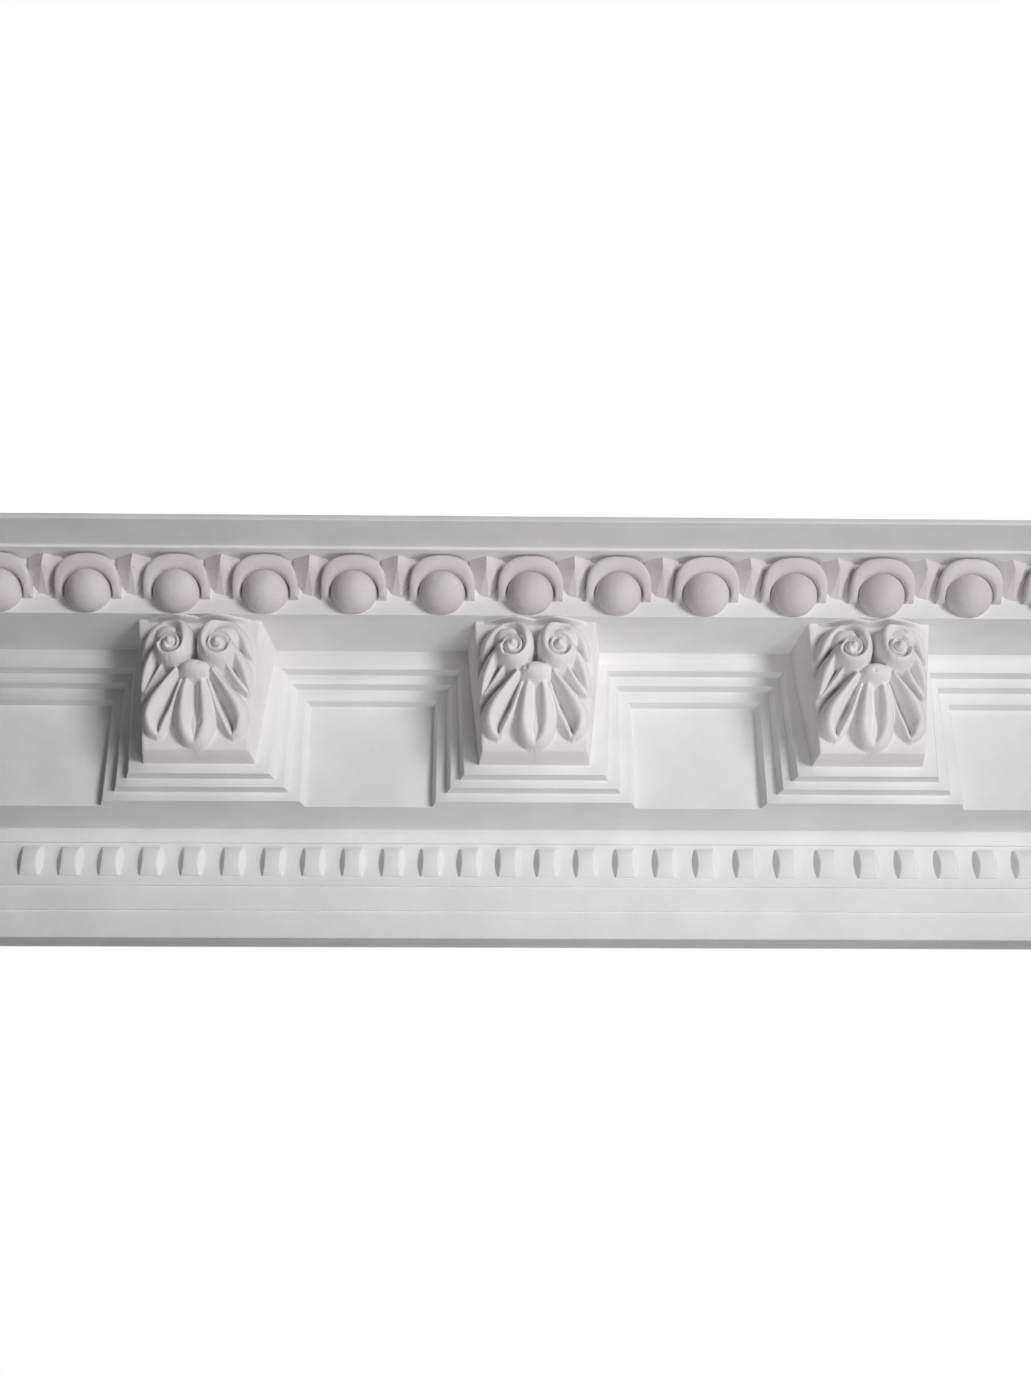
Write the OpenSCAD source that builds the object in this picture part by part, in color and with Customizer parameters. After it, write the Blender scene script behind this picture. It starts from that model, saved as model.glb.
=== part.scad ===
// Cornice moulding length in cast plaster: egg-and-dart crown, scrolled leaf modillions over a
// stepped frieze, dentil bed mould. The wall face is y = 0, the front looks along -Y, +Z is up
// and z = 0 is the middle of the strip that meets the wall. Sizes are in millimetres.

/* [Run] */
// length of the run, cut square at both ends
run_length = 830; // [300:10:2400]
// underside of the bed mould, below the middle of the wall strip
foot_z = -20; // [-40:1:-10]
// face that meets the ceiling
ceiling_z = 233; // [228:1:260]
// how far the top member stands out from the wall
top_out = 225; // [205:1:300]
// thinnest part of the back hollow's plaster
back_wall = 16; // [10:1:24]

/* [Bed mould] */
// top of the lowest fillet
fillet_1_z = 2.3; // [-6:0.1:8]
// top of the second fillet, where the dentil band starts
fillet_2_z = 21.2; // [12:0.1:24]
// top of the dentil band
band_z = 55.3; // [54:0.1:62]
// underside of the frieze
frieze_foot_z = 67; // [64:0.5:72]
// how far the lowest fillet stands out
foot_out = 24; // [20:0.5:30]
// small step between one fillet and the next
fillet_step = 2; // [1:0.5:4]

/* [Dentils] */
// spacing of the dentils
dentil_pitch = 30.8; // [26:0.1:50]
// offset of one dentil from the middle of the run
dentil_shift = 12.7; // [-15:0.1:15]
// width of a dentil where it leaves the band
dentil_w = 18.6; // [12:0.1:22]
// width of a dentil on its proudest line
dentil_face_w = 9.8; // [5:0.1:11]
// height of a dentil
dentil_h = 23; // [16:0.5:28]
// how far a dentil stands off the band at mid height
dentil_proud = 6; // [3:0.2:9]
// how far a dentil stands off the band at its two ends
dentil_end = 1.2; // [0.6:0.1:2.5]

/* [Frieze] */
// sunk panel face, out from the wall
panel_out = 76; // [70:1:84]
// depth of each of the three steps round the panel
frieze_step = 9.15; // [5:0.05:10]
// underside of the lowest step over the panel
step_1_z = 151; // [148:0.5:154]
// underside of the middle step over the panel
step_2_z = 161; // [158:0.5:164]
// underside of the top step over the panel
step_3_z = 169.4; // [167:0.2:176]

/* [Corona and crown] */
// flat underside that the modillions carry
soffit_z = 185.4; // [182:0.2:190]
// corona face, out from the wall
corona_out = 162.4; // [158:0.2:168]
// top of the corona face
corona_top_z = 197; // [194:0.5:200]
// underside of the quirk over the eggs
quirk_z = 226; // [222:0.5:227]
// outer edge of the quirk
quirk_out = 189; // [186:0.5:196]
// flat underside of the top member
top_soffit_z = 228.4; // [227.5:0.1:230]

/* [Egg and dart] */
// spacing of the eggs
egg_pitch = 65.5; // [56:0.5:110]
// offset of one egg from the middle of the run
egg_shift = -4; // [-30:0.5:30]
// radius of an egg
egg_r = 17.2; // [12:0.1:20]
// height of the egg centres
egg_z = 202.4; // [200:0.2:206]
// egg centres, out from the wall
egg_out = 167; // [166:0.5:174]
// outer radius of the hood over an egg
hood_r = 24.3; // [23.6:0.1:26]
// radius of the mouth of the hood
hood_mouth_r = 19.2; // [17:0.1:22]
// how far the centre of the mouth lies below the egg centre
hood_drop = 7.4; // [3:0.1:8]
// front of the hood at its foot
hood_foot_out = 166.5; // [164:0.5:170]
// front of the hood at its crown
hood_top_out = 186; // [178:0.5:188]
// half width of a dart at its head
dart_head = 13; // [8:0.5:16]
// half width of a dart at its foot
dart_foot = 5; // [3:0.5:8]

/* [Modillions] */
// spacing of the modillions
mod_pitch = 250; // [200:5:500]
// half width of a modillion face at its top
mod_top_w = 45.4; // [36:0.2:54]
// half width of a modillion face at its foot
mod_foot_w = 39.2; // [30:0.2:46]
// height of a modillion's foot
mod_foot_z = 90.5; // [86:0.5:100]
// top of a modillion's face, out from the wall
mod_top_out = 152.8; // [140:0.2:160]
// foot of a modillion's face, out from the wall
mod_foot_out = 123.5; // [114:0.5:134]
// side slope of a modillion, sideways per millimetre of depth
mod_side_slope = 0.12; // [0:0.01:0.2]
// how far the volutes stand off the face
volute_proud = 31; // [20:1:34]
// sideways place of a volute's eye
volute_x = 17; // [15:0.5:20]
// height of a volute's eye
volute_z = 156.6; // [146:0.2:160]
// radius of a volute's outermost turn
volute_turn_r = 17; // [14:0.5:19]

/* [Hidden] */
half_l = run_length / 2;
out_2 = foot_out + fillet_step;
band_out = out_2 + fillet_step;
bed_out = band_out + fillet_step;
level = [for (k = [0:3]) panel_out + k * frieze_step];
hood_top_z = egg_z + hood_r;
hood_foot_z = corona_top_z + 0.4;
mod_n = floor((half_l - mod_top_w - 12) / mod_pitch);
ground_out = corona_out + 9;

// ---- profile helpers: a profile is drawn as [out from the wall, height] ----
module along_x(l) translate([l / 2, 0, 0]) rotate([90, 0, -90]) linear_extrude(l) children();
function mix(a, b, t) = a + (b - a) * t;
function hood_out(z) = let (t = (z - corona_top_z) / (hood_top_z - corona_top_z))
  mix(hood_foot_out, hood_top_out, sin(90 * max(0, min(1, t))));

module run_profile() polygon([
  [0, foot_z], [foot_out, foot_z], [foot_out, fillet_1_z], [out_2, fillet_1_z],
  [out_2, fillet_2_z], [band_out, fillet_2_z], [band_out, band_z], [bed_out, band_z],
  [bed_out, frieze_foot_z], [level[0], frieze_foot_z], [level[0], soffit_z],
  [corona_out, soffit_z],
  [corona_out, corona_top_z], [ground_out, quirk_z], [quirk_out, quirk_z],
  [quirk_out, top_soffit_z], [top_out, top_soffit_z], [top_out, ceiling_z],
  [corona_out - 4, ceiling_z], [corona_out - 22, soffit_z + back_wall + 3],
  [level[0] - 2, soffit_z + back_wall - 2], [level[0] - back_wall, step_3_z],
  [level[0] - back_wall, frieze_foot_z + 39], [level[0] - 24, frieze_foot_z + 25],
  [bed_out - back_wall, frieze_foot_z + 9], [bed_out - back_wall - 2, -foot_z + 14],
  [0, -foot_z]]);

// ---- dentils: a pillowed block with sloping sides ----
pillow_s = dentil_proud - dentil_end;
pillow_r = (dentil_h * dentil_h / 4 + pillow_s * pillow_s) / (2 * pillow_s);
dentil_z = (fillet_2_z + band_z) / 2 + 1.8;
side_run = (dentil_w - dentil_face_w) / 2 / dentil_proud;

module dentil() intersection() {
  translate([0, -(band_out + dentil_proud - pillow_r), dentil_z]) rotate([0, 90, 0])
    cylinder(r = pillow_r, h = dentil_w + 4, center = true, $fn = 96);
  translate([0, 0, dentil_z - dentil_h / 2]) linear_extrude(dentil_h)
    polygon([[-dentil_w / 2 - side_run, 1 - band_out], [dentil_w / 2 + side_run, 1 - band_out],
      [dentil_face_w / 2 - side_run, -band_out - dentil_proud - 1],
      [side_run - dentil_face_w / 2, -band_out - dentil_proud - 1]]);
}

// ---- egg, hood and dart ----
module egg() translate([0, -egg_out, egg_z]) rotate([90, 0, 0]) sphere(r = egg_r, $fn = 96);

module hood() intersection() {
  along_x(2 * hood_r + 2) polygon(concat([[ground_out - 14, corona_top_z - 1]],
    [[hood_foot_out - 1, corona_top_z - 1]],
    [for (k = [0:6]) let (z = mix(corona_top_z, hood_top_z, k / 6)) [hood_out(z), z]],
    [[ground_out - 14, hood_top_z]]));
  translate([0, -ground_out + 13, 0]) rotate([90, 0, 0]) linear_extrude(40) difference() {
    union() {
      translate([0, egg_z]) circle(r = hood_r, $fn = 96);
      translate([0.3 - hood_r, hood_foot_z]) square([2 * hood_r - 0.6, egg_z - hood_foot_z]);
    }
    translate([0, egg_z - hood_drop]) circle(r = hood_mouth_r, $fn = 96);
    translate([-hood_r - 1, hood_foot_z - 2 * hood_r]) square([2 * hood_r + 2, 2 * hood_r]);
  }
}

module dart() {
  back = ground_out - 14;
  zt = quirk_z + 1;
  zm = zt - 12;
  zl = corona_top_z + 3;
  polyhedron(points = [
    [0, -hood_top_out + 2, zt], [0, -hood_top_out + 1, zm],
    [dart_head, -ground_out - 2, zt], [dart_head - 1, -ground_out, zm],
    [-dart_head, -ground_out - 2, zt], [1 - dart_head, -ground_out, zm],
    [dart_foot, -hood_foot_out - 1, zl], [-dart_foot, -hood_foot_out - 1, zl],
    [dart_head, -back, zt], [-dart_head, -back, zt],
    [dart_foot, -back, zl], [-dart_foot, -back, zl], [dart_head - 1, -back, zm],
    [1 - dart_head, -back, zm]],
    faces = [[2, 3, 1, 0], [1, 5, 4, 0], [6, 7, 1], [3, 6, 1], [7, 5, 1],
      [4, 9, 8, 2, 0], [10, 11, 7, 6], [8, 12, 3, 2], [12, 10, 6, 3],
      [5, 13, 9, 4], [7, 11, 13, 5], [9, 13, 12, 8], [13, 11, 10, 12]]);
}

// ---- stepped borders: a board along the run that drops round each modillion ----
// [underside of the board, foot of the drops, half width of a drop at its top and foot]
boards = [[step_1_z, frieze_foot_z + 0.4, 75.5, 75.5], [step_2_z, frieze_foot_z + 8, 65.4, 64.3],
  [step_3_z, frieze_foot_z + 15, 58, 54]];
module board(k) translate([0, -level[k - 1] + 3, 0]) rotate([90, 0, 0])
  linear_extrude(frieze_step + 3) union() {
    q = boards[k - 1];
    translate([-half_l, q[0]]) square([run_length, soffit_z + 1.5 * k - q[0]]);
    for (m = [-mod_n:mod_n]) translate([m * mod_pitch, 0])
      polygon([[-q[3], q[1]], [q[3], q[1]], [q[2], q[0] + 2], [-q[2], q[0] + 2]]);
  }

// ---- modillion relief: each lobe runs from a root through a bend to a tip ----
// [root x, z, bend x, z, tip x, z, half widths at root, belly and tip, height at root and tip]
function up(z) = z + mod_foot_z - 20.5;
lobes = [
  [0, up(66), 0, up(45), 0, up(22), 8, 11, 5, 19, 9],
  [5.5, up(64), 10, up(38), 1, up(20.5), 5.5, 7, 3, 22, 12],
  [12, up(68), 28, up(48), 27, up(33), 8, 11, 4, 17, 3],
  [14, up(70), 33, up(48), 27.5, up(29), 6, 8.5, 2, 25, 6],
  [13, up(52), 17, up(39), 26, up(30), 3.6, 4.6, 1.6, 17, 6],
  [24, up(71), 31, up(61), 38, up(54), 2.6, 2.6, 1.2, 20, 6],
  [30, up(80), 41, up(70), 39, up(54), 4.5, 5, 1.5, 15, 5]];
// [x, z, half width, half height, height]
domes = [
  [14.8, volute_z, 15, 17.5, volute_proud - 9], [0, up(70.5), 12.5, 8.5, 25.5],
  [15, volute_z + 17, 18, 22, 9], [volute_x, volute_z, 4.2, 4.2, volute_proud]];
turn_n = 12;
volute = [for (k = [0:turn_n]) let (a = 10 + 445 * k / turn_n, r = volute_turn_r - 11.8 * k / turn_n)
  [volute_x + r * cos(a), volute_z + r * sin(a), mix(4.6, 3, k / turn_n),
   volute_proud * mix(0.62, 0.95, min(1, k / 4))]];

function bell(t, p) = t >= 1 ? 0 : pow(1 - pow(t, p), 0.6);
function along(x, z, a, b) = let (d = [b[0] - a[0], b[1] - a[1]])
  max(0, min(1, ((x - a[0]) * d[0] + (z - a[1]) * d[1]) / (d * d)));
function link(x, z, a, b) = let (t = along(x, z, a, b), dx = x - mix(a[0], b[0], t),
  dz = z - mix(a[1], b[1], t)) mix(a[3], b[3], t) * bell(norm([dx, dz]) / mix(a[2], b[2], t), 2.4);
function lobe_node(q, t) = [
  (1 - t) * (1 - t) * q[0] + 2 * t * (1 - t) * q[2] + t * t * q[4],
  (1 - t) * (1 - t) * q[1] + 2 * t * (1 - t) * q[3] + t * t * q[5],
  t < 0.5 ? mix(q[6], q[7], 2 * t) : mix(q[7], q[8], 2 * t - 1), mix(q[9], q[10], t)];
runs = concat([volute], [for (q = lobes) [for (k = [0:5]) lobe_node(q, k / 5)]]);
function relief(x, z) = max(concat(
  [for (d = domes) d[4] * bell(norm([(x - d[0]) / d[2], (z - d[1]) / d[3]]), 4)],
  [for (s = runs) for (k = [0:len(s) - 2]) link(x, z, s[k], s[k + 1])]));

mod_nx = 28;
mod_nz = 32;
mod_back = level[3] - 8;
function face_out(z) = mix(mod_foot_out, mod_top_out, (z - mod_foot_z) / (soffit_z - mod_foot_z));
function face_w(z) = mix(mod_foot_w, mod_top_w, (z - mod_foot_z) / (soffit_z - mod_foot_z));
function side_w(z) = face_w(z) + mod_side_slope * (face_out(z) - mod_back);
function row_z(j) = mix(mod_foot_z, soffit_z + 2, j / mod_nz);

module modillion() {
  front = [for (j = [0:mod_nz]) for (i = [0:mod_nx])
    let (z = row_z(j), x = face_w(z) * (2 * i / mod_nx - 1),
      rim = i == 0 || i == mod_nx || j == 0)
    [x, -(face_out(z) + (rim ? 0 : relief(abs(x), z))), z]];
  n = len(front);
  rear = [for (j = [0:mod_nz]) for (s = [-1, 1]) [s * side_w(row_z(j)), -mod_back, row_z(j)]];
  w = mod_nx + 1;
  polyhedron(points = concat(front, rear), faces = concat(
    [for (j = [0:mod_nz - 1]) for (i = [0:mod_nx - 1]) for (h = [0, 1]) let (a = j * w + i)
      h == 0 ? [a, a + w, a + w + 1] : [a, a + w + 1, a + 1]],
    [for (j = [0:mod_nz - 1]) let (a = j * w, b = n + 2 * j) [a, b, b + 2, a + w]],
    [for (j = [0:mod_nz - 1]) let (a = j * w + mod_nx, b = n + 2 * j + 1) [a, a + w, b + 2, b]],
    [for (j = [0:mod_nz - 1]) let (b = n + 2 * j) [b, b + 1, b + 3, b + 2]],
    [concat([n], [for (i = [0:mod_nx]) i], [n + 1])],
    [concat([n + 2 * mod_nz + 1], [for (i = [mod_nx:-1:0]) mod_nz * w + i], [n + 2 * mod_nz])]));
}

module trimmed(x, r) if (abs(x) + r > half_l) intersection() {
  translate([x, 0, 0]) children();
  translate([-half_l, -400, -100]) cube([run_length, 400, 400]);
} else translate([x, 0, 0]) children();

module cornice_length() color("Gainsboro") union() {
  along_x(run_length) run_profile();
  for (k = [1:3]) board(k);
  for (k = [-ceil(half_l / dentil_pitch):ceil(half_l / dentil_pitch)])
    let (x = dentil_shift + k * dentil_pitch) if (abs(x) + dentil_w / 2 < half_l)
      translate([x, 0, 0]) dentil();
  for (k = [-ceil(half_l / egg_pitch):ceil(half_l / egg_pitch)])
    let (x = egg_shift + k * egg_pitch) if (abs(x) + egg_r < half_l) {
      trimmed(x, hood_r) hood();
      translate([x, 0, 0]) egg();
    }
  for (k = [-ceil(half_l / egg_pitch):ceil(half_l / egg_pitch)])
    let (x = egg_shift + (k + 0.5) * egg_pitch) if (abs(x) + dart_head < half_l)
      translate([x, 0, 0]) dart();
  for (k = [-mod_n:mod_n]) translate([k * mod_pitch, 0, 0]) modillion();
}

cornice_length();
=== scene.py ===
"""Cornice moulding length in cast plaster, modelled in millimetres and placed in metres.

The wall face is y = 0, the carved front looks along -Y and the ceiling face is on top.
"""

import math
import random

import bmesh
import bpy
import numpy as np
from mathutils import Matrix, Vector


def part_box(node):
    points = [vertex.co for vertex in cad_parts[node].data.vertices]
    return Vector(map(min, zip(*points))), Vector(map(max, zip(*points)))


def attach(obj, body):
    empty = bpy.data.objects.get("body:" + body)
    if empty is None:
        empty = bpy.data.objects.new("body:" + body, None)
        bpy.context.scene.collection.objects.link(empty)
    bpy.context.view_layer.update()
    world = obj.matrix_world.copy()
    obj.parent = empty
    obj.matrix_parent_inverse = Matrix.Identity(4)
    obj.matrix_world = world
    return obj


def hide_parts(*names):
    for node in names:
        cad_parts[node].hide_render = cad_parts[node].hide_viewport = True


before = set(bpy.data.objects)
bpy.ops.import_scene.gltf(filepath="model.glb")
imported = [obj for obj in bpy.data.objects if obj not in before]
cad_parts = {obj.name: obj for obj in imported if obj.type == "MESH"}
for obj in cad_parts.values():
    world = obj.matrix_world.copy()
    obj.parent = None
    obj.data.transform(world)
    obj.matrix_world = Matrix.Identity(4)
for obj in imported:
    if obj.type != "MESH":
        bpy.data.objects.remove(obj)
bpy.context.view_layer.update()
NODE = "cornice_length"
node_lo, node_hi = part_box(NODE)

MM = 0.001
HALF_RUN = node_hi[0] / MM
CUT = HALF_RUN - 0.15  # where the ornament is sawn off, a hair inside the end of the run
FOOT_Z = node_lo[2] / MM
CEILING_Z = node_hi[2] / MM
TOP_OUT = -node_lo[1] / MM

# ---- sizes in millimetres: "out" is measured from the wall, z from the middle of the wall strip ----
# the bed mould from the foot up: where each fillet or band starts, and how far out it stands
FILLETS = ((FOOT_Z, 24), (2.3, 26), (21.2, 28), (55.3, 30))
FRIEZE_FOOT_Z = 67
BAND_OUT = FILLETS[2][1]  # the dentil band
LEVELS = (76, 85.15, 94.3, 103.45)  # sunk panel and the three steps round it
STEP_Z = (151, 161, 169.4)  # undersides of the steps over the panel
DROP_Z = (67.4, 75, 82)  # feet of the steps where they drop round a modillion
DROP_W = ((75.5, 75.5), (65.4, 64.3), (58, 54))  # their half widths at top and foot
SOFFIT_Z = 185.4
CORONA_OUT, CORONA_TOP_Z = 162.4, 197
GROUND_OUT = CORONA_OUT + 9
QUIRK_Z, QUIRK_OUT = 226, 189
TOP_SOFFIT_Z = 228.4
BACK_WALL = 16  # thickness of the cast in front of the hollow
WALL_STRIP_Z = 20  # top of the strip that lies on the wall

MOD_PITCH = 250
MOD_AT = (-MOD_PITCH, 0, MOD_PITCH)
MOD_FOOT_Z, MOD_FOOT_OUT, MOD_FOOT_W = 90.5, 123.5, 39.2
MOD_TOP_OUT, MOD_TOP_W = 152.8, 45.4
MOD_SIDE_SLOPE = 0.12
MOD_FOOT_LIFT, MOD_FOOT_DROP = 1.6, 1.2  # the underside tilts: front edge up, rear edge down

EGG_PITCH, EGG_SHIFT = 65.5, -4
EGG_R, EGG_Z, EGG_OUT = 17.2, 202.3, 166.2
MOUTH_W, MOUTH_Z, MOUTH_RISE = 18.6, 200, 13.8
HOOD_R, HOOD_RISE = 24.3, 22.3
HOOD_FOOT_OUT, HOOD_TOP_OUT = 166.5, 186
HOOD_SQUARE = 0.85  # under 1, the crown is a little squarer than a half circle
# across a hood from its outer edge to its mouth: (share of the way, how far behind the crown)
HOOD_SECTION = ((0, 4), (0.04, 2.2), (0.14, 0.9), (0.32, 0.1), (0.6, 0), (0.8, 0.1), (0.93, 0.5), (1, 1.6))
HOOD_LEG = 0.06  # the share of the hood's length that each straight end of the mouth takes
DART_HEAD, DART_FOOT = 13, 5
ORNAMENT_BACK = GROUND_OUT - 14  # hoods and darts are let into the face this deep

DENTIL_PITCH, DENTIL_SHIFT = 30.8, 12.7
DENTIL_W, DENTIL_FACE_W, DENTIL_H = 18.6, 9.8, 23
DENTIL_PROUD, DENTIL_END = 6, 1.2
DENTIL_LIFT = 1.8  # how far the dentils sit above the middle of their band
DENTIL_WANDER = 2.2  # how far they drift from even spacing

ARRIS, FILLET_ARRIS = 0.9, 0.35  # how much the edges of the cast and of its small fillets are softened
RUN_WANDER = 0.35  # how far the run's face strays from true


def mix(a, b, t):
    return a + (b - a) * t


# ---- mesh helpers ----
def solid(name, verts, faces, sharp=38):
    """A closed mesh from points in millimetres, smooth except where faces meet sharply."""
    mesh = bpy.data.meshes.new(name)
    mesh.from_pydata([Vector(v) * MM for v in verts], [], faces)
    bm = bmesh.new()
    bm.from_mesh(mesh)
    bmesh.ops.recalc_face_normals(bm, faces=bm.faces)
    for edge in bm.edges:
        edge.smooth = edge.calc_face_angle(0) < math.radians(sharp)
    for face in bm.faces:
        face.smooth = True
    bm.to_mesh(mesh)
    bm.free()
    obj = bpy.data.objects.new(name, mesh)
    bpy.context.scene.collection.objects.link(obj)
    return obj


def sawn(piece):
    """Cuts a piece square where the run ends and closes the cuts."""
    bm = bmesh.new()
    bm.from_mesh(piece.data)
    for side in (-1, 1):
        cut = bmesh.ops.bisect_plane(bm, geom=bm.verts[:] + bm.edges[:] + bm.faces[:], clear_outer=True,
                                     plane_co=(side * CUT * MM, 0, 0), plane_no=(side, 0, 0))
        rims = [e for e in cut["geom_cut"] if isinstance(e, bmesh.types.BMEdge)]
        if rims:
            bmesh.ops.holes_fill(bm, edges=rims)
    bm.to_mesh(piece.data)
    bm.free()
    return piece


class Heap:
    """Collects the closed shells of one piece."""

    def __init__(self):
        self.verts, self.faces = [], []

    def add(self, verts, faces):
        start = len(self.verts)
        self.verts += [tuple(v) for v in verts]
        self.faces += [[start + i for i in f] for f in faces]

    def tube(self, rings):
        """Joins closed rings of equal size into a skin and closes both ends."""
        n = len(rings[0])
        verts = [p for ring in rings for p in ring]
        faces = [
            (r * n + i, r * n + (i + 1) % n, (r + 1) * n + (i + 1) % n, (r + 1) * n + i)
            for r in range(len(rings) - 1)
            for i in range(n)
        ]
        last = (len(rings) - 1) * n
        faces += [list(range(n))[::-1], list(range(last, last + n))]
        self.add(verts, faces)


def softened(points, radii, steps=3):
    """A closed outline with its corners rounded by about the radii given."""
    out = []
    n = len(points)
    for i, r in enumerate(radii):
        a, b, c = (np.array(points[(i + k) % n], float) for k in (-1, 0, 1))
        ra = min(r, np.linalg.norm(a - b) * 0.45)
        rc = min(r, np.linalg.norm(c - b) * 0.45)
        p, q = b + (a - b) / np.linalg.norm(a - b) * ra, b + (c - b) / np.linalg.norm(c - b) * rc
        for s in range(steps + 1):
            t = s / steps
            out.append(tuple((1 - t) ** 2 * p + 2 * t * (1 - t) * b + t * t * q))
    return out


def grown(outline, reach):
    """An outline with each edge moved outwards by reach(edge normal)."""
    n = len(outline)
    pts = [np.array(p, float) for p in outline]
    lines = []
    for i in range(n):
        a, b = pts[i], pts[(i + 1) % n]
        t = (b - a) / np.linalg.norm(b - a)
        normal = np.array((t[1], -t[0]))
        lines.append((a + normal * reach(normal), t))
    out = []
    for i in range(n):
        (p, s), (q, t) = lines[i - 1], lines[i]
        det = s[0] * t[1] - s[1] * t[0]
        if abs(det) < 1e-6:
            out.append(tuple(q))
            continue
        k = ((q[0] - p[0]) * t[1] - (q[1] - p[1]) * t[0]) / det
        out.append(tuple(p + s * k))
    return out


def wander(x, z, seed, length=90):
    """Slow unevenness, as a template run by hand leaves it."""
    rnd = random.Random(seed)
    total = 0
    for k in range(4):
        f = 2 * math.pi / length * (1 + 0.7 * k)
        total = total + np.sin(f * x + rnd.uniform(0, 6.3) + z * f * rnd.uniform(-0.8, 0.8)) / (1 + k)
    return total / 2.1


# ---- the plain run ----
def make_run():
    front = []
    for k, (z, out) in enumerate(FILLETS):
        front += [(out, z), (out, FILLETS[k + 1][0] if k < 3 else FRIEZE_FOOT_Z)]
    front += [(LEVELS[0], FRIEZE_FOOT_Z), (LEVELS[0], SOFFIT_Z), (CORONA_OUT, SOFFIT_Z)]
    front += [(CORONA_OUT, CORONA_TOP_Z), (GROUND_OUT, QUIRK_Z), (QUIRK_OUT, QUIRK_Z)]
    front += [(QUIRK_OUT, TOP_SOFFIT_Z), (TOP_OUT, TOP_SOFFIT_Z), (TOP_OUT, CEILING_Z)]
    front = softened(front, [FILLET_ARRIS if 1 <= k <= 6 else ARRIS for k in range(len(front))])
    # the hollow back: a thin shell behind the frieze between a wall strip and a ceiling strip
    frieze_back = LEVELS[0] - BACK_WALL
    back = [(CORONA_OUT - 4, CEILING_Z), (CORONA_OUT - 22, SOFFIT_Z + BACK_WALL + 3)]
    back += [(LEVELS[0] - 2, SOFFIT_Z + BACK_WALL - 2), (frieze_back, STEP_Z[2])]
    back += [(frieze_back, FRIEZE_FOOT_Z + 39), (LEVELS[0] - 24, FRIEZE_FOOT_Z + 25)]
    back += [(FILLETS[3][1] - BACK_WALL, FRIEZE_FOOT_Z + 9), (BAND_OUT - BACK_WALL, 34)]
    back += [(0, WALL_STRIP_Z), (0, FOOT_Z)]
    back = softened(back, [1] + [7] * 7 + [1, 1], 5)
    ring = front + back
    heap = Heap()
    stations = 160
    rings = []
    for s in range(stations + 1):
        x = mix(-HALF_RUN, HALF_RUN, s / stations)
        strays = [RUN_WANDER * (1 + wander(x, z, 3)) / 2 if k < len(front) else 0 for k, (_, z) in enumerate(ring)]
        rings.append([(x, -(out - stray), z) for (out, z), stray in zip(ring, strays)])
    heap.tube(rings)
    return solid("run_body", heap.verts, heap.faces, 50)


def step_outline(k):
    """The outline of one step round the panels, counter-clockwise seen from the front."""
    top, foot = DROP_W[k]
    out = [(-CUT, SOFFIT_Z + 1), (-CUT, STEP_Z[k])]
    for x in MOD_AT:
        out += [(x - top, STEP_Z[k]), (x - foot, DROP_Z[k])]
        out += [(x + foot, DROP_Z[k]), (x + top, STEP_Z[k])]
    return out + [(CUT, STEP_Z[k]), (CUT, SOFFIT_Z + 1)]


def draft(at):
    """How far each edge of a step moves out at one depth: the sides slope, the undersides hardly do."""

    def reach(normal):
        if abs(normal[0]) >= 0.3:
            return 1.5 * at
        return 0.25 * at if normal[1] < 0 else 0

    return reach


def make_frieze_steps():
    heap = Heap()
    for k in range(3):
        rear, face = LEVELS[k], LEVELS[k + 1]
        depths = ((rear - 4, 1.9), (rear, 1), (face - ARRIS, -0.85), (face - 0.25, -1.1), (face, -1.5))
        rings = []
        for out, at in depths:
            outline = grown(step_outline(k), draft(at))
            rings.append([(max(-CUT, min(CUT, x)), -out, z) for x, z in outline])
        heap.tube(rings)
    return solid("frieze_steps", heap.verts, heap.faces, 30)


# ---- egg and dart ----
def hood_out(z):
    """How far out a hood's crown stands at a height: steep at the foot, flat at the top."""
    t = (z - CORONA_TOP_Z) / (EGG_Z + HOOD_R - CORONA_TOP_Z)
    return mix(HOOD_FOOT_OUT, HOOD_TOP_OUT, math.sin(math.pi / 2 * max(0, min(1, t))) ** 0.7)


def hood_lines(n=44):
    """Matching points along the outer and the inner edge of a hood, as (x, z)."""
    foot = CORONA_TOP_Z + 0.4
    leg, arc = EGG_Z - foot, math.pi * HOOD_R
    girth = 2 * leg + arc
    outer, inner = [], []
    for k in range(n + 1):
        share = k / n
        s = share * girth
        if s < leg:
            outer.append((HOOD_R, foot + s))
        elif s > leg + arc:
            outer.append((-HOOD_R, foot + girth - s))
        else:
            a = (s - leg) / HOOD_R
            across = math.copysign(abs(math.cos(a)) ** HOOD_SQUARE, math.cos(a))
            outer.append((HOOD_R * across, EGG_Z + HOOD_RISE * math.sin(a) ** HOOD_SQUARE))
        # the mouth is half an oval whose ends run straight down to the foot
        a = math.pi * max(0, min(1, (share - HOOD_LEG) / (1 - 2 * HOOD_LEG)))
        down = max(0, HOOD_LEG - share, share - 1 + HOOD_LEG) / HOOD_LEG
        inner.append((MOUTH_W * math.cos(a), mix(MOUTH_Z + MOUTH_RISE * math.sin(a), foot, down)))
    return outer, inner


def add_hood(heap, x0):
    rings = []
    for (xo, zo), (xi, zi) in zip(*hood_lines()):
        ring = [(xo, ORNAMENT_BACK, zo)]
        for t, dip in HOOD_SECTION:
            z = mix(zo, zi, t)
            ring.append((mix(xo, xi, t), hood_out(z) - dip, z))
        ring.append((xi, ORNAMENT_BACK, zi))
        rings.append([(x0 + x, -out, min(z, QUIRK_Z + 1)) for x, out, z in ring])
    heap.tube(rings)


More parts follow.
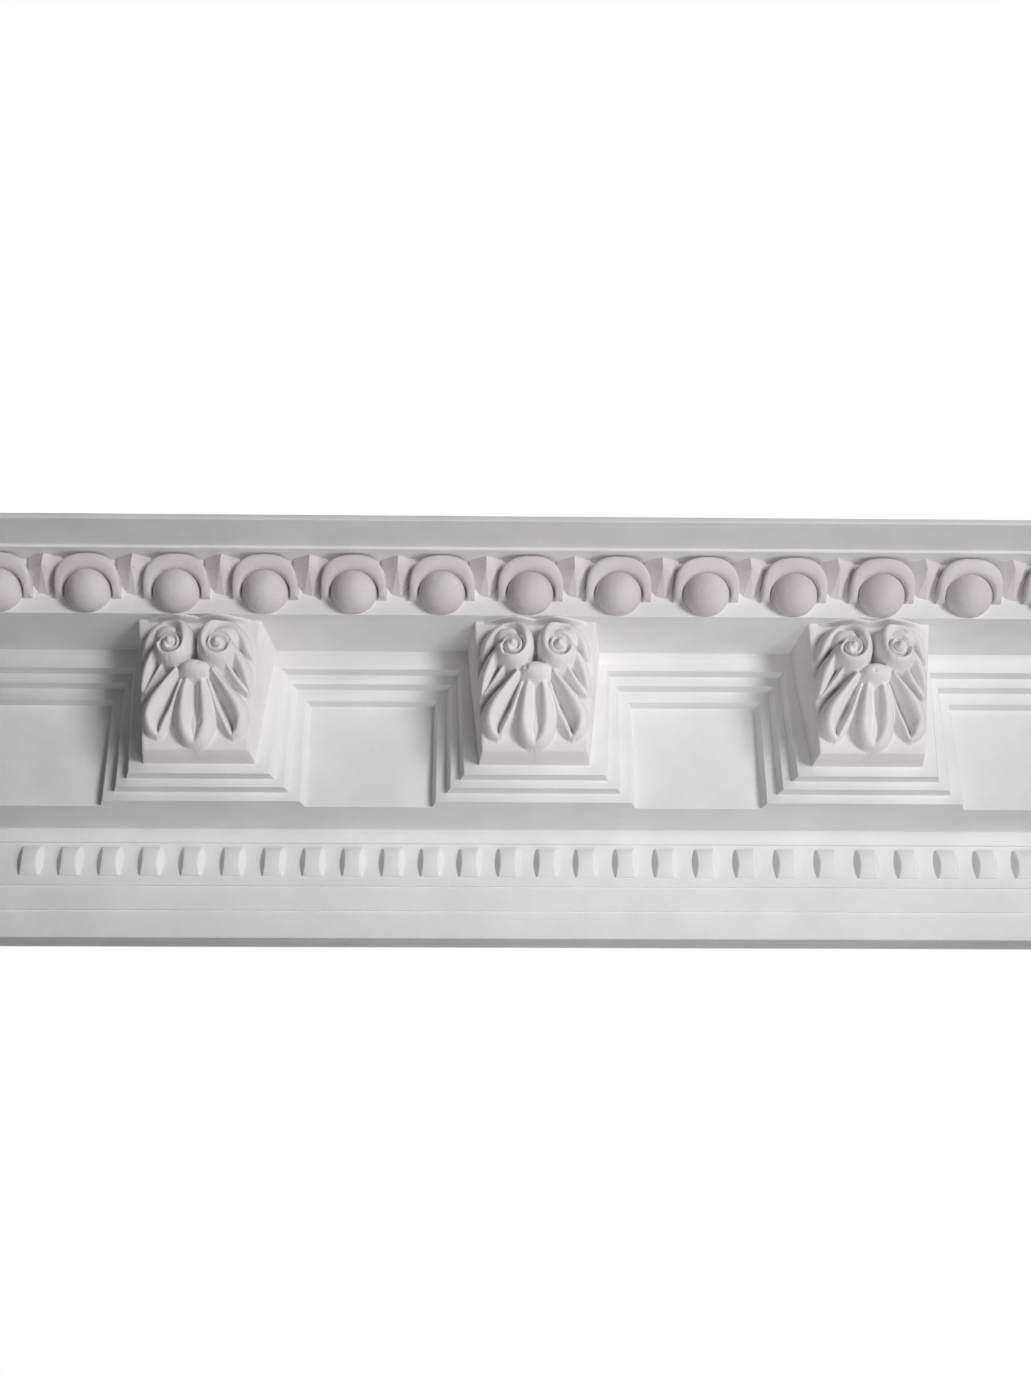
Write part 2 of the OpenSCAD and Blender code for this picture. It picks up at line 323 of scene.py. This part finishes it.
def add_egg(heap, x0, rnd, across=40, down=28):
    """A ball a little taller or shorter than round."""
    half = EGG_R * rnd.uniform(0.985, 1.015) * 0.99
    verts = [(x0, -EGG_OUT, EGG_Z - half)]
    for j in range(1, down):
        lat = math.pi * j / down
        for i in range(across):
            lon = 2 * math.pi * i / across
            x, out = EGG_R * math.sin(lat) * math.cos(lon), EGG_R * math.sin(lat) * math.sin(lon)
            verts.append((x0 + x, -EGG_OUT - out, EGG_Z - half * math.cos(lat)))
    top = len(verts)
    verts.append((x0, -EGG_OUT, EGG_Z + half))
    faces = []
    for i in range(across):
        k = (i + 1) % across
        faces += [(0, 1 + k, 1 + i), (top, top - across + i, top - across + k)]
        for first in range(1, top - across, across):
            faces.append((first + i, first + k, first + across + k, first + across + i))
    heap.add(verts, faces)


def add_dart(heap, x0):
    """The arrow between two hoods: a proud head with two flanks, undercut below its nose."""
    top, mid, foot = QUIRK_Z + 1, QUIRK_Z - 11, CORONA_TOP_Z + 3
    corners = {
        "crest": (0, 180, top),
        "nose": (0, 182, mid + 1),
        "right_top": (DART_HEAD, GROUND_OUT + 2, top),
        "right_mid": (DART_HEAD - 2, GROUND_OUT, mid - 2),
        "left_top": (-DART_HEAD, GROUND_OUT + 2, top),
        "left_mid": (1 - DART_HEAD, GROUND_OUT, mid),
        "right_foot": (DART_FOOT - 1, HOOD_FOOT_OUT - 3, foot),
        "left_foot": (-DART_FOOT, HOOD_FOOT_OUT - 5, foot),
        "back_right_top": (DART_HEAD, ORNAMENT_BACK, top),
        "back_left_top": (-DART_HEAD, ORNAMENT_BACK, top),
        "back_right_foot": (DART_FOOT, ORNAMENT_BACK, foot),
        "back_left_foot": (-DART_FOOT, ORNAMENT_BACK, foot),
        "back_right_mid": (DART_HEAD - 1, ORNAMENT_BACK, mid),
        "back_left_mid": (1 - DART_HEAD, ORNAMENT_BACK, mid),
        "tip": (2, HOOD_FOOT_OUT - 3.5, foot),
    }
    facets = (
        "right_top right_mid nose crest", "nose left_mid left_top crest",
        "left_foot nose tip", "right_mid tip nose", "right_mid right_foot tip", "left_foot left_mid nose",
        "left_top back_left_top back_right_top right_top crest",
        "back_right_foot back_left_foot left_foot tip right_foot",
        "back_right_top back_right_mid right_mid right_top", "back_right_mid back_right_foot right_foot right_mid",
        "left_mid back_left_mid back_left_top left_top", "left_foot back_left_foot back_left_mid left_mid",
        "back_left_top back_left_mid back_right_mid back_right_top",
        "back_left_mid back_left_foot back_right_foot back_right_mid",
    )
    names = list(corners)
    heap.add([(x0 + x, -out, z) for x, out, z in corners.values()],
             [[names.index(corner) for corner in facet.split()] for facet in facets])


def make_eggs():
    rnd = random.Random(5)
    eggs, hoods, darts = Heap(), Heap(), Heap()
    n = math.ceil(HALF_RUN / EGG_PITCH)
    for k in range(-n, n + 1):
        x = EGG_SHIFT + k * EGG_PITCH
        if abs(x) + EGG_R < HALF_RUN:
            add_hood(hoods, x)
            add_egg(eggs, x, rnd)
        x += EGG_PITCH / 2
        if abs(x) + DART_HEAD < HALF_RUN:
            add_dart(darts, x)
    return [
        solid("eggs", eggs.verts, eggs.faces),
        sawn(solid("egg_hoods", hoods.verts, hoods.faces, 50)),
        solid("darts", darts.verts, darts.faces, 12),
    ]


# ---- dentils ----
def make_dentils():
    """Blocks with sloping ends and a face that bulges in the middle of its height."""
    heap = Heap()
    mid = (FILLETS[2][0] + FILLETS[3][0]) / 2 + DENTIL_LIFT
    sag = DENTIL_PROUD - DENTIL_END
    bulge_r = (DENTIL_H**2 / 4 + sag**2) / (2 * sag)
    slope = (DENTIL_W - DENTIL_FACE_W) / 2 / DENTIL_PROUD
    n = math.ceil(HALF_RUN / DENTIL_PITCH)
    rows = 14
    for k in range(-n, n + 1):
        x0 = DENTIL_SHIFT + k * DENTIL_PITCH
        if abs(x0) + DENTIL_W / 2 >= HALF_RUN:
            continue
        x0 += DENTIL_WANDER * math.cos(2 * math.pi * (k + 6) / 16) * min(1, (HALF_RUN + x0) / 150)
        rings = []
        for j in range(rows + 1):
            z = mix(-DENTIL_H / 2, DENTIL_H / 2, j / rows)
            proud = DENTIL_PROUD - bulge_r + math.sqrt(bulge_r**2 - z * z)
            half = DENTIL_W / 2 + 0.7 - 2.0 * (2 * z / DENTIL_H) ** 2
            section = ((-1.5, 1), (0, 1), (proud - 0.5, 1), (proud - 0.12, 0.97), (proud, 0.9))
            flank = [((half - slope * max(p, 0)) * narrow, BAND_OUT + p) for p, narrow in section]
            ring = flank + [(-x, out) for x, out in flank[::-1]]
            rings.append([(x0 + x, -out, mid + z) for x, out in ring])
        heap.tube(rings)
    return solid("dentils", heap.verts, heap.faces, 40)


# ---- modillions ----
# ridges of the half leaf, each a line of (x, z, half width, height off the face)
ROLL = (
    (24, 178, 3.4, 13), (17, 177.6, 4.6, 15), (11, 174.6, 6, 19), (7.6, 167.5, 7, 24), (7.4, 158.6, 7.4, 27.5),
    (11, 151.6, 7.6, 29), (17, 149.4, 6.8, 28.5), (23, 151.4, 5.6, 26.5), (26, 156.5, 4.4, 24.5), (25.4, 162, 3.4, 22),
)
EYE = (17.2, 158.4)  # middle of the volute
TOP_LOBE = (
    (15, 178.6, 3.6, 12), (22, 177.5, 5, 13), (29, 173, 5.8, 14), (34.6, 166.5, 5.2, 13), (37, 161, 3.8, 10),
    (39.6, 157.4, 1.6, 6),
)
CRESCENT = ((27, 159, 4.6, 19), (31.6, 152, 6, 18), (35.6, 144, 5.6, 15), (38, 137, 3.8, 11), (39.8, 131.6, 1.6, 6))
CRESCENT_RIB = ((23, 147.5, 3.2, 18), (27.4, 141.4, 3.2, 15), (32.4, 136, 2.6, 11), (37.8, 131, 1.4, 6))
SIDE_LOBE = (
    (13.4, 141.6, 4.2, 20), (21.4, 132, 5.4, 19.5), (29.8, 121.4, 7.2, 17), (33.4, 113, 6.4, 14), (32, 105.4, 4.6, 10),
    (27.8, 100.6, 1.8, 6),
)
SIDE_RIB = (
    (10, 136, 3, 15), (13.6, 126, 3, 14), (17, 117.6, 3.5, 12), (21.4, 109.6, 3.4, 10), (25.4, 102.6, 2.4, 7),
    (27.4, 100.8, 1.5, 5),
)
MID_LOBE = (
    (5.2, 136, 5, 16.5), (6.8, 128, 6.6, 18.5), (8, 117, 8, 18), (7.8, 107, 7.4, 15), (5, 99.8, 5.8, 11.5),
    (0, 95.4, 3, 7),
)
MID_RIB = ((0, 136, 6, 10), (0, 118, 7, 9.6), (0, 104, 7, 9), (0, 96, 2.4, 6))
LIP = (
    (0, 185, 1.7, 4.5), (7, 185, 1.7, 7.5), (14, 185, 1.7, 10), (21, 185, 1.7, 8.5), (28, 185, 1.6, 5.5),
    (36, 185, 1.5, 1.5),
)
# rounded swellings: centre (x, z), half width, half height, height
DOMES = (
    ((16.6, 158.4), 13, 13, 27.5),
    ((20, 168), 13, 9, 18),
    (EYE, 4, 4, 30),
    ((0, 142.4), 14.4, 8.6, 24.5),
    ((0, 153), 34, 26, 7),
    ((0, 132), 24, 10, 6),
)


def bent(line, n=4):
    """The same line through its points as a smooth curve."""
    pts = np.array(line, float)
    ext = np.vstack([2 * pts[0] - pts[1], pts, 2 * pts[-1] - pts[-2]])
    out = []
    for i in range(1, len(ext) - 2):
        p0, p1, p2, p3 = ext[i - 1 : i + 3]
        for k in range(n):
            t = k / n
            out.append(0.5 * (2 * p1 + (p2 - p0) * t + (2 * p0 - 5 * p1 + 4 * p2 - p3) * t**2
                              + (3 * p1 - p0 - 3 * p2 + p3) * t**3))
    return out + [pts[-1]]


def bell(t, p, q=0.6):
    """1 in the middle (t = 0) falling to 0 at the rim (t = 1): flatter with p, steeper at the rim with less q."""
    return np.where(t >= 1, 0, np.clip(1 - np.clip(t, 0, 1) ** p, 0, 1) ** q)


def ridge(x, z, nodes, p, q=0.6):
    """Height of a rounded ridge along a line of (x, z, half width, height)."""
    high = np.zeros_like(x)
    for a, b in zip(nodes[:-1], nodes[1:]):
        dx, dz = b[0] - a[0], b[1] - a[1]
        t = np.clip(((x - a[0]) * dx + (z - a[1]) * dz) / (dx * dx + dz * dz), 0, 1)
        d = np.hypot(x - mix(a[0], b[0], t), z - mix(a[1], b[1], t))
        high = np.maximum(high, mix(a[3], b[3], t) * bell(d / mix(a[2], b[2], t), p, q))
    return high


def coil_groove(x, z):
    """Depth of the groove that winds into the eye of the volute."""
    start, tighter, length, depth, width = 9.8, 3.7, 1.9, 5.5, 1.05  # radius, and loss of it per turn
    r = np.hypot(x - EYE[0], z - EYE[1])
    part = np.mod(np.arctan2(z - EYE[1], x - EYE[0]) / (2 * math.pi), 1)
    deep = np.zeros_like(r)
    for turns in (part, part + 1):
        ends = np.clip(turns / 0.1, 0, 1) * np.clip((length - turns) / 0.3, 0, 1)
        off = (r - start + tighter * turns) / width
        deep = np.maximum(deep, depth * ends * np.exp(-(off**2)))
    return deep


def relief(x, z):
    """Height of the leaf and its two volutes off the face of the modillion."""
    x = np.abs(x)
    high = np.zeros_like(x)
    for (cx, cz), rx, rz, h in DOMES:
        high = np.maximum(high, h * bell(np.hypot((x - cx) / rx, (z - cz) / rz), 3))
    for line in (TOP_LOBE, CRESCENT, CRESCENT_RIB, SIDE_LOBE, SIDE_RIB, MID_LOBE, MID_RIB):
        high = np.maximum(high, ridge(x, z, bent(line), 1.6, 0.5))
    high = np.maximum(high, ridge(x, z, bent(ROLL), 2.2))
    high = np.maximum(high - coil_groove(x, z), 0)
    high *= 0.22 + 0.78 * np.clip((184 - z) / 5.5, 0, 1)  # the hollow under the lip
    return np.maximum(high, ridge(x, z, bent(LIP), 6))


def blurred(grid, sigma):
    """Softens a height grid, as paint and wear do."""
    reach = int(3 * sigma + 1)
    kernel = np.exp(-0.5 * (np.arange(-reach, reach + 1) / sigma) ** 2)
    kernel /= kernel.sum()
    for axis in (0, 1):
        pad = [(reach, reach) if a == axis else (0, 0) for a in (0, 1)]
        padded = np.pad(grid, pad, mode="edge")
        grid = np.apply_along_axis(lambda row: np.convolve(row, kernel, mode="valid"), axis, padded)
    return grid


def face_out(z):
    return mix(MOD_FOOT_OUT, MOD_TOP_OUT, (z - MOD_FOOT_Z) / (SOFFIT_Z - MOD_FOOT_Z))


def face_w(z):
    return mix(MOD_FOOT_W, MOD_TOP_W, (z - MOD_FOOT_Z) / (SOFFIT_Z - MOD_FOOT_Z))


def worn(high, x, z, name):
    """Nicks where the casting was knocked or an air bubble opened, and a slight unevenness."""
    rnd = random.Random(name)
    for _ in range(7):
        cx, cz, r = rnd.uniform(-26, 26), rnd.uniform(98, 172), rnd.uniform(0.8, 1.9)
        depth, squash = rnd.uniform(0.5, 1.6), rnd.uniform(0.7, 1.4)
        high = high - depth * bell(np.hypot(x - cx, (z - cz) * squash) / r, 2) * (high > 6)
    return high + 0.16 * wander(x, z, len(name), 11) * (high > 2)


def make_modillion(name, x0, pitch=0.6):
    """The carved face as a grid of the given pitch, closed by two sides, a rear and an underside."""
    nx = int(2 * MOD_TOP_W / pitch)
    nz = int((SOFFIT_Z - MOD_FOOT_Z) / pitch)
    rear_out = LEVELS[3] - 8
    zs = np.linspace(MOD_FOOT_Z + MOD_FOOT_LIFT, SOFFIT_Z + 1, nz + 1)
    z, u = np.meshgrid(zs, np.linspace(-1, 1, nx + 1), indexing="ij")
    x = u * face_w(z)
    high = blurred(worn(relief(x, z), x, z, name), 0.4 / pitch)
    rim = np.clip((1 - np.abs(u)) * face_w(z) / 2.0, 0, 1)
    foot = np.clip((z - zs[0]) / 1.5, 0, 1)
    high = high * rim * foot - ARRIS * (1 - np.sqrt(rim)) - ARRIS * (1 - np.sqrt(foot))
    verts = [tuple(p) for p in np.stack([x + x0, -(face_out(z) + high), z], -1).reshape(-1, 3)]
    n, w = len(verts), nx + 1
    rear_zs = [MOD_FOOT_Z - MOD_FOOT_DROP] + list(zs[1:])
    for half, rear_z in zip(face_w(zs) + MOD_SIDE_SLOPE * (face_out(zs) - rear_out), rear_zs):
        verts += [(x0 - half, -rear_out, rear_z), (x0 + half, -rear_out, rear_z)]
    faces = []
    for j in range(nz):
        for a in range(j * w, j * w + nx):
            faces.append((a, a + 1, a + w + 1, a + w))
        a, b = j * w, n + 2 * j
        faces += [(a, a + w, b + 2, b), (a + nx, b + 1, b + 3, a + w + nx)]
        if j:
            faces.append((b, b + 2, b + 3, b + 1))
    # the underside is a strip of narrow quads, because its tilt makes it slightly twisted
    under = len(verts)
    verts += [(mix(verts[n][0], verts[n + 1][0], i / nx), -rear_out, rear_zs[0]) for i in range(1, nx)]
    rear = [n] + list(range(under, under + nx - 1)) + [n + 1]
    faces += [(i, i + 1, rear[i + 1], rear[i]) for i in range(nx)]
    faces.append([n + 2] + rear + [n + 3])
    faces.append([n + 2 * nz + 1, n + 2 * nz] + [nz * w + i for i in range(w)])
    return solid(name, verts, faces, 60)


# ---- materials ----
def linear(hex_colour):
    """An sRGB hex colour as linear RGBA."""
    rgb = [int(hex_colour[i : i + 2], 16) / 255 for i in (1, 3, 5)]
    return [c / 12.92 if c <= 0.04045 else ((c + 0.055) / 1.055) ** 2.4 for c in rgb] + [1]


def node(tree, kind, links=(), **values):
    """Adds a node, sets its properties or inputs and links what is given."""
    made = tree.nodes.new(kind)
    for key, value in values.items():
        key = key.replace("_", " ") if key.replace("_", " ") in made.inputs else key
        if key in made.inputs:
            made.inputs[key].default_value = value
        else:
            setattr(made, key, value)
    for socket, source in links:
        tree.links.new(source, made.inputs[socket])
    return made


def painted_plaster(name, dark, light, grain, drag):
    """Gypsum plaster cast in a mould and painted: a chalky white with a slow, faint mottle and a fine grit."""
    mat = bpy.data.materials.new(name)
    mat.use_nodes = True
    tree = mat.node_tree
    tree.nodes.clear()
    where = node(tree, "ShaderNodeTexCoord").outputs["Object"]
    mottle = node(tree, "ShaderNodeTexNoise", [("Vector", where)], Scale=1000 / 45, Detail=4.0, Roughness=0.55)
    ramp = node(tree, "ShaderNodeValToRGB", [("Fac", mottle.outputs["Fac"])])
    for stop, place, tone in zip(ramp.color_ramp.elements, (0.35, 0.65), (dark, light)):
        stop.position, stop.color = place, linear(tone)
    # paint stipple about 2.2 mm across, drawn a little coarser than the real 1 mm so that it shows
    grit = node(tree, "ShaderNodeTexNoise", [("Vector", where)], Scale=1000 / 2.2, Detail=4.0, Roughness=0.7)
    wave = node(tree, "ShaderNodeTexNoise", [("Vector", where)], Scale=1000 / 30, Detail=2.0)
    # drag lines of the running template: 3 mm apart up the face, very long along the run
    along = node(tree, "ShaderNodeMapping", [("Vector", where)], Scale=(0.02, 1, 1))
    lines = node(tree, "ShaderNodeTexNoise", [("Vector", along.outputs["Vector"])], Scale=1000 / 3, Detail=2.0)
    low = node(tree, "ShaderNodeBump", [("Height", wave.outputs["Fac"])], Strength=0.3, Distance=0.0014)
    drawn = node(tree, "ShaderNodeBump", [("Height", lines.outputs["Fac"]), ("Normal", low.outputs["Normal"])],
                 Strength=drag, Distance=0.0005)
    bump = node(tree, "ShaderNodeBump", [("Height", grit.outputs["Fac"]), ("Normal", drawn.outputs["Normal"])],
                Strength=grain, Distance=0.0008)
    shader = node(tree, "ShaderNodeBsdfPrincipled",
                  [("Base Color", ramp.outputs["Color"]), ("Normal", bump.outputs["Normal"])],
                  Roughness=0.8, IOR=1.5)
    node(tree, "ShaderNodeOutputMaterial", [("Surface", shader.outputs["BSDF"])])
    return mat


# ---- make the pieces ----
pieces = [make_run(), make_frieze_steps()] + make_eggs() + [make_dentils()]
for label, x0 in zip(("left", "middle", "right"), MOD_AT):
    pieces.append(make_modillion("modillion_" + label, x0))

# gypsum plaster with matt white paint: the run is smooth, the castings a little duller, warmer and grainier; the eggs
# are darker still, which is painted shade from the top member that overhangs them
run_plaster = painted_plaster("gypsum plaster, run and painted matt white", "#e3e2e3", "#eae9ea", 0.35, 0.25)
leaf_plaster = painted_plaster("gypsum plaster, cast leaves painted matt white", "#e1dedf", "#e9e7e7", 0.5, 0)
# the eggs' darker tone is painted shade for the overhang of the top member above them, not a thinner coat of paint
egg_plaster_painted_shade = painted_plaster("gypsum plaster, cast eggs darkened as painted shade", "#cfc8cb", "#dad6d8", 0.6, 0)
for piece in pieces:
    cast = leaf_plaster if piece.name.startswith("modillion") else egg_plaster_painted_shade
    piece.data.materials.append(cast if piece.name.startswith(("modillion", "egg", "dart")) else run_plaster)
    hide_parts(NODE)
    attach(piece, "root")

# ---- floor, light and camera ----
FLOOR_Z, FLOOR_SIZE = -2.4, 16
LIT_POINT = Vector((0, -0.12, 0.12))  # the middle of the carved front
LENS, SENSOR = 41.92, 36
CAMERA_AT = Vector((-0.0323, -1.2042, -0.3865))
RIGHT = Vector((0.99987, -0.01589, -0.00144))
UPWARD = Vector((-0.00573, -0.44131, 0.89733))
LOOK = Vector((0.0149, 0.89721, 0.44135))

bpy.ops.mesh.primitive_plane_add(size=FLOOR_SIZE, location=(0, 0, FLOOR_Z))
floor = bpy.context.object
floor.name = "floor"
floor.visible_shadow = False  # so that no lamp below the moulding is shaded by the floor
floor_mat = bpy.data.materials.new("pale floor")
floor_mat.use_nodes = True
floor_shader = floor_mat.node_tree.nodes["Principled BSDF"]
floor_shader.inputs["Base Color"].default_value = linear("#ececec")
floor_shader.inputs["Roughness"].default_value = 0.9
floor.data.materials.append(floor_mat)


def soft_light(name, toward, reach, size, power):
    """An oval lamp of the given width and height, so far from the moulding in the direction given."""
    lamp = bpy.data.lights.new(name, "AREA")
    lamp.shape, lamp.energy = "ELLIPSE", power
    lamp.size, lamp.size_y = size
    obj = bpy.data.objects.new(name, lamp)
    way = Vector(toward).normalized()
    obj.location = LIT_POINT + reach * way
    obj.rotation_euler = way.to_track_quat("Z", "Y").to_euler()
    obj.visible_camera = False
    bpy.context.scene.collection.objects.link(obj)


soft_light("key", (0.57, -0.80, -0.05), 5.0, (1.6, 1.6), 149)
soft_light("low_front", (0.28, -0.52, -0.80), 0.62, (0.35, 0.35), 1.0)
soft_light("back_fill", (-0.4, 0.8, 0.5), 4.0, (2.5, 2.5), 75)

world = bpy.data.worlds.new("studio")
bpy.context.scene.world = world
world.use_nodes = True
tree = world.node_tree
tree.nodes.clear()
seen = node(tree, "ShaderNodeBackground", Color=linear("#ffffff"), Strength=1.0)
soft = node(tree, "ShaderNodeBackground", Color=linear("#fbf4fb"), Strength=0.03)
ray = node(tree, "ShaderNodeLightPath").outputs["Is Camera Ray"]
both = node(tree, "ShaderNodeMixShader", [(0, ray), (1, soft.outputs[0]), (2, seen.outputs[0])])
node(tree, "ShaderNodeOutputWorld", [("Surface", both.outputs[0])])
bpy.context.scene.view_settings.view_transform = "Standard"

camera = bpy.data.cameras.new("camera")
camera.sensor_width, camera.lens = SENSOR, LENS
camera_obj = bpy.data.objects.new("camera", camera)
bpy.context.scene.collection.objects.link(camera_obj)
camera_obj.matrix_world = Matrix([(RIGHT[k], UPWARD[k], -LOOK[k], CAMERA_AT[k]) for k in range(3)] + [(0, 0, 0, 1)])
bpy.context.scene.camera = camera_obj
